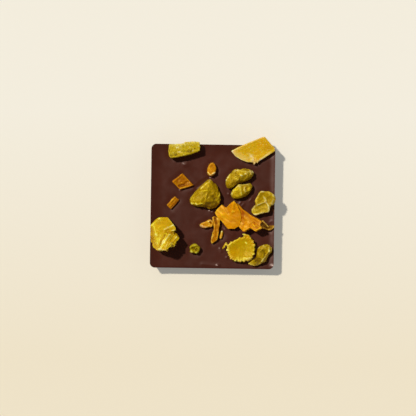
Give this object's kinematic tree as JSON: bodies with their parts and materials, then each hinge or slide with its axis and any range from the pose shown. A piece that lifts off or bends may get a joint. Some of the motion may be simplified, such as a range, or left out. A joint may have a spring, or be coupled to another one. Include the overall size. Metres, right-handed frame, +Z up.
{
  "type": "chocolate napolitain with dried fruit",
  "caption": "Small square of dark chocolate with rounded corners, moulded flat, its open face set with pieces of dried and candied fruit.",
  "frame": {"origin": "centre of the chocolate square's flat underside, where it rests", "axes": "+Z up, out of the open face that carries the fruit; +X to the right and +Y to the far side of the picture, both along the square's sides"},
  "size_m": [0.0407, 0.0427, 0.0124],
  "materials": {
    "dark_chocolate": "satin dark chocolate",
    "sugared_citrus": "rough with sugar crystals",
    "pale_mango": "leathery, slightly translucent",
    "golden_raisin": "wrinkled, slightly translucent",
    "mango": "leathery, slightly translucent",
    "pineapple": "fibrous, slightly translucent"
  },
  "bodies": {
    "root": {"chocolate_square": "dark_chocolate", "sugared_stick": "sugared_citrus", "mango_slice": "pale_mango", "raisin_large": "golden_raisin", "raisin_upper": "golden_raisin", "raisin_middle": "golden_raisin", "raisin_right": "golden_raisin", "raisin_corner": "golden_raisin", "mango_fold": "mango", "peel_strip": "mango", "pineapple_piece": "pineapple", "fruit_disc": "pineapple"}
  },
  "joints": []
}
